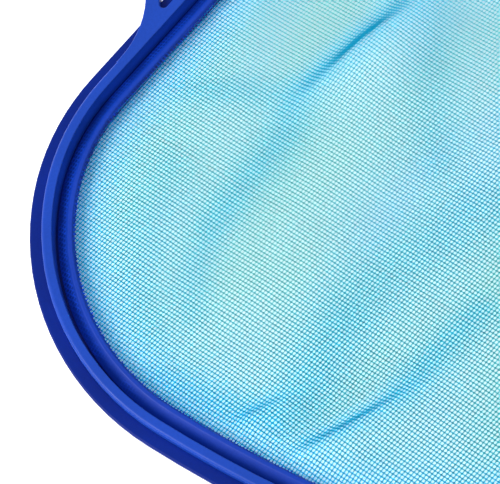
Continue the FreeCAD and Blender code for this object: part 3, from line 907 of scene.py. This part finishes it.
def lay_floor(stage):
    """A plain pale floor just under the head, lifted towards white where it is seen."""
    shape = bmesh.new()
    bmesh.ops.create_grid(shape, x_segments=1, y_segments=1, size=stage.floor_size / 2)
    bmesh.ops.translate(shape, verts=shape.verts, vec=(0.0, 0.0, CAD_BOX[0].z - FLOOR_GAP))
    mesh = bpy.data.meshes.new("floor")
    shape.to_mesh(mesh)
    shape.free()
    floor = bpy.data.objects.new("floor", mesh)
    bpy.context.scene.collection.objects.link(floor)
    material, tree, places = new_material("floor_paper")
    fibres = spread(tree, noise_at(tree, places, 0.4), 0.99, 1.01)
    lift = spread(tree, seen_directly(tree), 1.0, stage.floor_lift, 0.0, 1.0)
    shade = tinted(tree, stage.floor_colour, math_node(tree, "MULTIPLY", fibres, lift))
    paper = add_node(tree, "ShaderNodeBsdfDiffuse", {"Color": shade})
    add_node(tree, "ShaderNodeOutputMaterial", {"Surface": paper.outputs["BSDF"]})
    mesh.materials.append(material)


def light_sky(scene, stage):
    """Even light from all round, white where it is seen."""
    world = bpy.data.worlds.new("studio")
    world.use_nodes = True
    scene.world = world
    tree = world.node_tree
    tree.nodes.clear()
    strength = spread(tree, seen_directly(tree), stage.sky_level, 1.0, 0.0, 1.0)
    sky = add_node(tree, "ShaderNodeBackground", {"Color": (1.0, 1.0, 1.0, 1.0), "Strength": strength})
    add_node(tree, "ShaderNodeOutputWorld", {"Surface": sky.outputs[0]})


def add_lamp(name, direction, distance, side, power):
    """A square lamp of this side, at this distance from the middle of the net and facing it."""
    lamp = bpy.data.lights.new(name, "AREA")
    lamp.shape = "SQUARE"
    lamp.size = side
    lamp.energy = power
    holder = bpy.data.objects.new(name, lamp)
    bpy.context.scene.collection.objects.link(holder)
    middle = Vector((0.0, (NET_LOW.y + NET_HIGH.y) / 2, 0.0))
    away = direction.normalized()
    turn = away.to_track_quat("Z", "Y").to_matrix().to_4x4()
    holder.matrix_world = Matrix.Translation(middle + away * distance) @ turn


def place_camera(scene, stage):
    """A camera that circles the aim at the given angles."""
    camera = bpy.data.cameras.new("camera")
    camera.lens = stage.lens
    camera.clip_start = 0.05
    camera.clip_end = 20.0
    holder = bpy.data.objects.new("camera", camera)
    scene.collection.objects.link(holder)
    turn = (
        Matrix.Rotation(stage.azimuth, 4, "Z")
        @ Matrix.Rotation(math.pi / 2 - stage.elevation, 4, "X")
        @ Matrix.Rotation(stage.roll, 4, "Z")
    )
    away = turn @ Vector((0.0, 0.0, stage.distance))
    holder.matrix_world = Matrix.Translation(Vector(stage.aim) + away) @ turn
    scene.camera = holder


class SKIMMER_PT_panel(bpy.types.Panel):
    """Lists the sizes, the colours and the steps"""

    bl_idname = "SKIMMER_PT_panel"
    bl_label = "Leaf skimmer net"
    bl_space_type = "VIEW_3D"
    bl_region_type = "UI"
    bl_category = "Skimmer"

    def draw(self, context):
        for title, settings in (
            ("Net", context.scene.skimmer_net),
            ("Mouldings", context.scene.skimmer_mouldings),
            ("Stage", context.scene.skimmer_stage),
        ):
            box = self.layout.box()
            box.label(text=title)
            for name in settings.__annotations__:
                box.prop(settings, name)
        for step in STEPS:
            self.layout.operator(step.bl_idname)


STEPS = (
    SKIMMER_OT_finish_mouldings,
    SKIMMER_OT_weave_net,
    SKIMMER_OT_finish_metal,
    SKIMMER_OT_finish_spigot,
    SKIMMER_OT_shape_spring,
    SKIMMER_OT_set_stage,
)
CLASSES = (SKIMMER_PG_net, SKIMMER_PG_mouldings, SKIMMER_PG_stage, *STEPS, SKIMMER_PT_panel)


def register():
    """Adds the settings, the steps and their panel."""
    for item in CLASSES:
        bpy.utils.register_class(item)
    bpy.types.Scene.skimmer_net = bpy.props.PointerProperty(type=SKIMMER_PG_net)
    bpy.types.Scene.skimmer_mouldings = bpy.props.PointerProperty(type=SKIMMER_PG_mouldings)
    bpy.types.Scene.skimmer_stage = bpy.props.PointerProperty(type=SKIMMER_PG_stage)


def unregister():
    """Takes them out again."""
    del bpy.types.Scene.skimmer_stage
    del bpy.types.Scene.skimmer_mouldings
    del bpy.types.Scene.skimmer_net
    for item in reversed(CLASSES):
        bpy.utils.unregister_class(item)


def main():
    """Makes the head and its stage."""
    register()
    bpy.ops.skimmer.finish_mouldings()
    bpy.ops.skimmer.weave_net()
    bpy.ops.skimmer.finish_metal()
    bpy.ops.skimmer.finish_spigot()
    bpy.ops.skimmer.shape_spring()
    bpy.ops.skimmer.set_stage()


if __name__ == "__main__":
    main()
